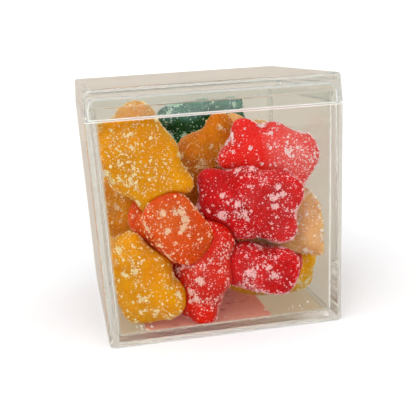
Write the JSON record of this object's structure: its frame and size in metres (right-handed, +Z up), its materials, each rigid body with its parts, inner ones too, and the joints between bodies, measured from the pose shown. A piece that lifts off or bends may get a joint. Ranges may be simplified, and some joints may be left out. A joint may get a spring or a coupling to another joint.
{
  "type": "box of gummy bears",
  "caption": "Clear square favour box with a lift-off lid, filled with sugar-dusted gummy bears in yellow, orange, red, green and peach, over a plain paper label.",
  "frame": {"origin": "the middle of the box's underside, on the surface it stands on", "axes": "+Z up through the lid, -Y out of the front wall, +X to the right as seen from the front"},
  "size_m": [0.056, 0.056, 0.0565],
  "materials": {
    "clear_plastic": "clear, polished, faintly grey at the edges",
    "label_paper": "matte pink paper with soft darker smudges",
    "gummy_yellow": "soft translucent gel, dusted with sugar",
    "gummy_golden": "soft translucent gel, dusted with sugar",
    "gummy_amber": "soft translucent gel, dusted with sugar",
    "gummy_orange": "soft translucent gel, dusted with sugar",
    "gummy_scarlet": "soft translucent gel, dusted with sugar",
    "gummy_crimson": "soft translucent gel, dusted with sugar",
    "gummy_rose": "soft translucent gel, dusted with sugar",
    "gummy_green": "soft translucent gel, dusted with sugar",
    "gummy_peach": "soft translucent gel, dusted with sugar",
    "sugar": "loose white sugar crystals"
  },
  "bodies": {
    "root": {"box_body": "clear_plastic", "lid": "clear_plastic", "base_label": "label_paper", "bear_01_yellow": "gummy_yellow", "bear_02_orange": "gummy_orange", "bear_03_yellow": "gummy_yellow", "bear_04_scarlet": "gummy_scarlet", "bear_05_crimson": "gummy_crimson", "bear_06_crimson": "gummy_crimson", "bear_07_rose": "gummy_rose", "bear_08_green": "gummy_green", "bear_09_amber": "gummy_amber", "bear_10_amber": "gummy_amber", "bear_11_peach": "gummy_peach", "bear_12_golden": "gummy_golden", "bear_13_peach": "gummy_peach", "bear_14_amber": "gummy_amber", "bear_15_scarlet": "gummy_scarlet", "bear_16_green": "gummy_green", "bear_17_yellow": "gummy_yellow", "bear_18_orange": "gummy_orange", "bear_19_yellow": "gummy_yellow", "bear_20_crimson": "gummy_crimson", "bear_21_peach": "gummy_peach", "bear_22_scarlet": "gummy_scarlet", "bear_23_orange": "gummy_orange", "bear_24_amber": "gummy_amber", "bear_25_golden": "gummy_golden"}
  },
  "joints": []
}
